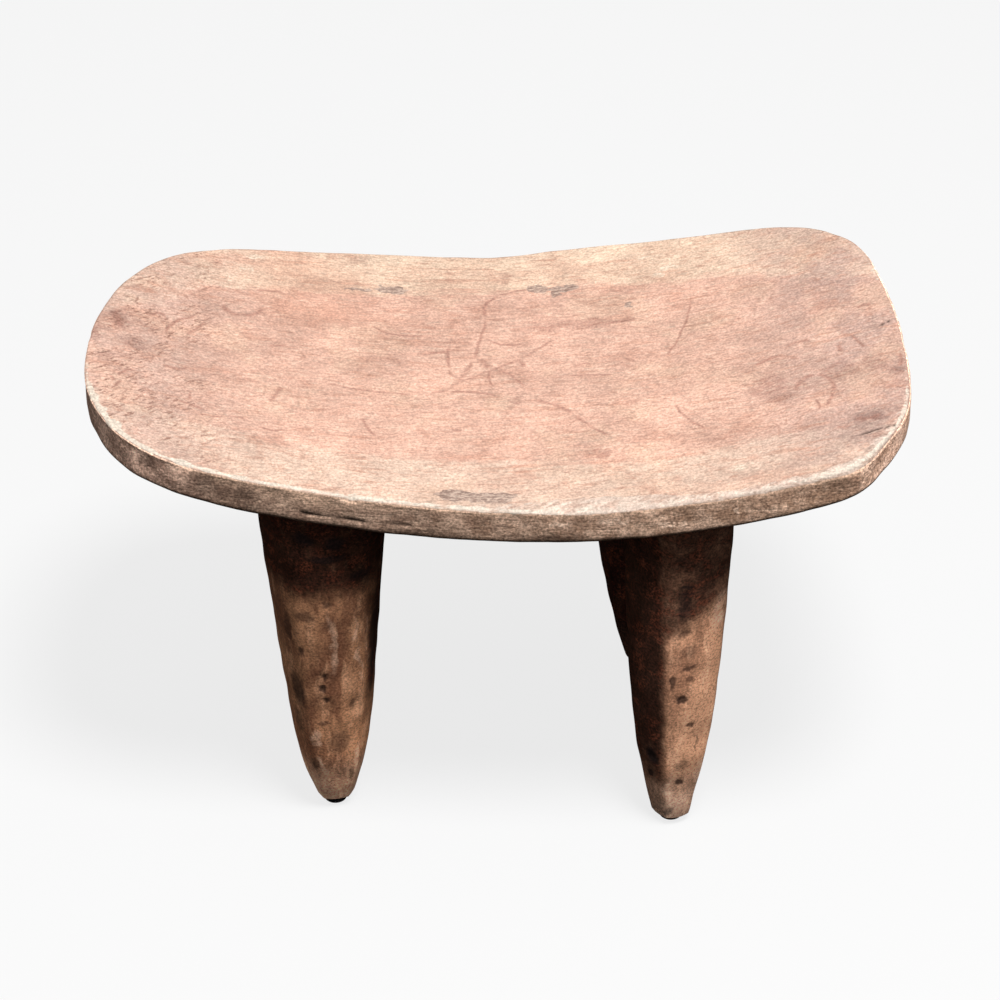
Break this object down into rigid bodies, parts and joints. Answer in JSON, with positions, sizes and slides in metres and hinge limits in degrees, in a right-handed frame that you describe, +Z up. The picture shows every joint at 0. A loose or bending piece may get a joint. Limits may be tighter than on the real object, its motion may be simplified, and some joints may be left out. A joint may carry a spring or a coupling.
{
  "type": "stool",
  "caption": "Low carved hardwood stool with a thick saddle-shaped seat on tapering peg legs that end in small black foot pads.",
  "frame": {"origin": "on the floor, under the middle of the seat's length and depth", "axes": "+Z up, +X along the seat towards its broader end, front towards -Y"},
  "size_m": [0.538, 0.329, 0.3305],
  "materials": {
    "seat_wood": "worn, dry and hand-rubbed, reddish heartwood with paler edges",
    "leg_wood": "dark hand-rubbed patina over adze marks",
    "pad_rubber": "matte",
    "nail_steel": "satin"
  },
  "bodies": {
    "root": {"seat": "seat_wood", "leg_front_left": "leg_wood", "leg_front_right": "leg_wood", "leg_rear_left": "leg_wood", "leg_rear_right": "leg_wood", "foot_pad_front_left": "pad_rubber", "foot_pad_front_right": "pad_rubber", "foot_pad_rear_left": "pad_rubber", "foot_pad_rear_right": "pad_rubber", "pad_nail_front_left": "nail_steel", "pad_nail_front_right": "nail_steel", "pad_nail_rear_left": "nail_steel", "pad_nail_rear_right": "nail_steel"}
  },
  "joints": []
}
